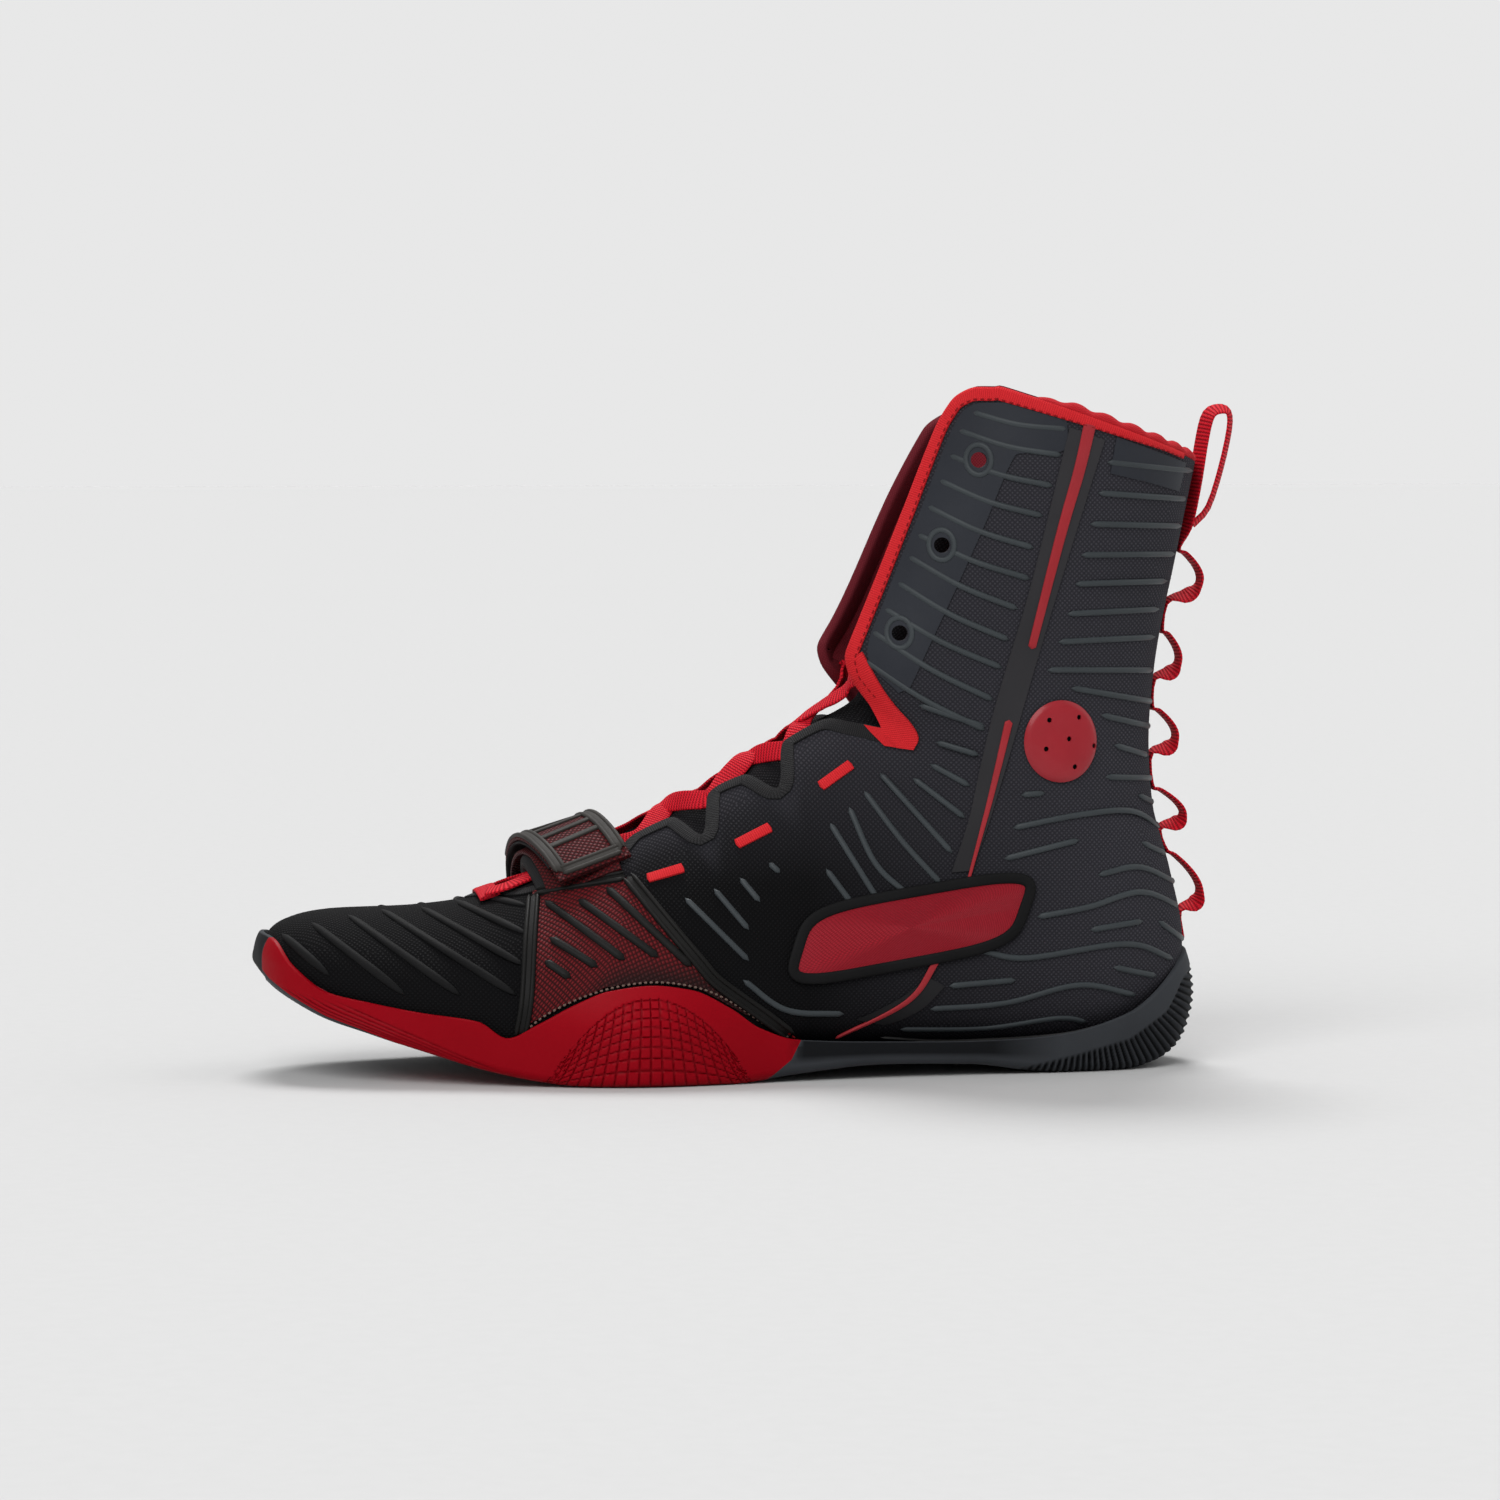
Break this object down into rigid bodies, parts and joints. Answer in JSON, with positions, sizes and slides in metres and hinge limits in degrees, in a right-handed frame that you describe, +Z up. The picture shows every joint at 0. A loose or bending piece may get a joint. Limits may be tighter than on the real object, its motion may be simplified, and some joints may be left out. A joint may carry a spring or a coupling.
{
  "type": "boxing shoe",
  "caption": "Left high-top boxing shoe: ribbed black mesh upper, red and black cup sole, laced throat under a forefoot strap, looped tape up the heel.",
  "frame": {"origin": "middle of the shoe's box, on the plane that heel and forefoot stand on", "axes": "+X from toe to heel, +Y from the outer to the inner side, +Z up"},
  "size_m": [0.3071, 0.1082, 0.2116],
  "materials": {
    "black_mesh": "knitted mesh",
    "slate_film": "satin film",
    "red_film": "woven film",
    "red_tape": "woven tape",
    "red_cloth": "brushed lining",
    "black_rubber": "matte",
    "red_rubber": "satin",
    "black_plastic": "moulded"
  },
  "bodies": {
    "root": {"upper": "black_mesh", "outsole": "black_rubber", "forefoot_sidewall": "red_rubber", "insole": "red_cloth", "tongue": "black_mesh", "collar_binding": "red_tape", "eyestay_lateral": "slate_film", "eyestay_medial": "slate_film", "ankle_pod_lateral": "red_film", "ankle_pod_medial": "red_film", "side_panel_lateral": "red_film", "side_panel_medial": "red_film", "ankle_tape_lateral": "slate_film", "ankle_tape_medial": "slate_film", "arch_tape_lateral": "slate_film", "arch_tape_medial": "slate_film", "strap_panel": "red_tape", "strap": "red_tape", "ring_tab": "red_tape", "strap_ring": "black_plastic", "lace": "red_tape", "heel_webbing": "red_tape"}
  },
  "joints": []
}
